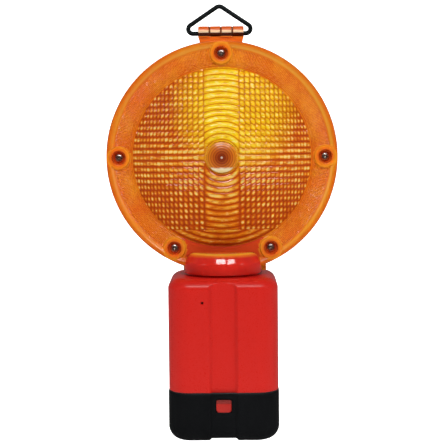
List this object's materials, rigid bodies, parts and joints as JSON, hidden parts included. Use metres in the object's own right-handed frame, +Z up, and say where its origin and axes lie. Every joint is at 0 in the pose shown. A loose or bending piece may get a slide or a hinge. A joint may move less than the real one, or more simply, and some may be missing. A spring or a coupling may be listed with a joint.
{
  "type": "barricade warning lamp",
  "caption": "Two-sided amber warning lamp: round prismatic lens head that turns on a red battery case, with wire hanging loop, pinhole switch and latched black battery cover.",
  "frame": {"origin": "centre of the base, on the ground", "axes": "+Z up along the swivel axis, -Y out of the front lens, +X to the right seen from the front"},
  "size_m": [0.185, 0.087, 0.3454],
  "materials": {
    "amber_lens": "clear amber polycarbonate with moulded prisms",
    "red_case": "red moulded plastic, satin",
    "black_cover": "black moulded plastic, fine texture",
    "black_wire": "black powder-coated steel wire",
    "seal_rubber": "black rubber",
    "screw_steel": "zinc-plated steel",
    "spring_steel": "spring steel",
    "holder_plastic": "dark grey moulded plastic",
    "board_white": "white solder mask",
    "led_clear": "clear epoxy",
    "sensor_face": "light cell under clear epoxy",
    "chip_black": "black epoxy",
    "lead_black": "black cable jacket",
    "plug_black": "black moulded plug",
    "plate_brown": "phenolic board",
    "contact_brass": "sprung brass",
    "lead_red": "red wire jacket",
    "button_white": "off-white plunger",
    "seat_foam": "dark closed-cell foam",
    "jacket_blue": "plain blue plastic battery jacket",
    "battery_top_grey": "light grey moulded plastic"
  },
  "bodies": {
    "case": {"battery_case": "red_case", "swivel_seal": "seal_rubber", "contact_plate": "plate_brown", "centre_contact": "contact_brass", "outer_contact": "contact_brass", "contact_screws": "screw_steel", "lead_socket": "plug_black", "switch_body": "holder_plastic", "switch_leads": "lead_red", "latch_spring": "spring_steel", "latch_retainer": "spring_steel"},
    "head": {"front_lens": "amber_lens", "rear_lens": "amber_lens", "lens_seal": "seal_rubber", "lens_screws": "screw_steel", "board_holder": "holder_plastic", "led_board": "board_white", "front_led": "led_clear", "rear_led": "led_clear", "light_sensor": "sensor_face", "board_components": "chip_black", "board_screws": "screw_steel", "lead_cable": "lead_black", "lead_plug": "plug_black"},
    "loop": {"hang_loop": "black_wire"},
    "switch": {"switch_button": "button_white"},
    "latch": {"latch_button": "red_case"},
    "cover": {"battery_cover": "black_cover", "cover_seal": "seal_rubber", "foam_pad": "seat_foam", "battery_jacket": "jacket_blue", "battery_top": "battery_top_grey", "battery_springs": "spring_steel"}
  },
  "joints": [
    {"name": "head_swivel", "type": "hinge", "parent": "case", "child": "head", "pos_m": [0, 0, 0.13], "axis": [0, 0, 1], "range_deg": [-180, 180]},
    {"name": "loop_swing", "type": "hinge", "parent": "head", "child": "loop", "pos_m": [0, 0, 0.3222], "axis": [1, 0, 0], "range_deg": [-105, 105]},
    {"name": "switch_press", "type": "slide", "parent": "case", "child": "switch", "axis": [0, 1, 0], "range_m": [0, 0.0012], "stiffness_N_per_m": 300, "springref_m": -0.0008},
    {"name": "latch_press", "type": "slide", "parent": "case", "child": "latch", "axis": [0, 1, 0], "range_m": [0, 0.0022], "stiffness_N_per_m": 900, "springref_m": -0.002, "deforming": ["latch_spring"]},
    {"name": "cover_slide", "type": "slide", "parent": "case", "child": "cover", "axis": [0, 0, -1], "range_m": [0, 0.13]}
  ]
}
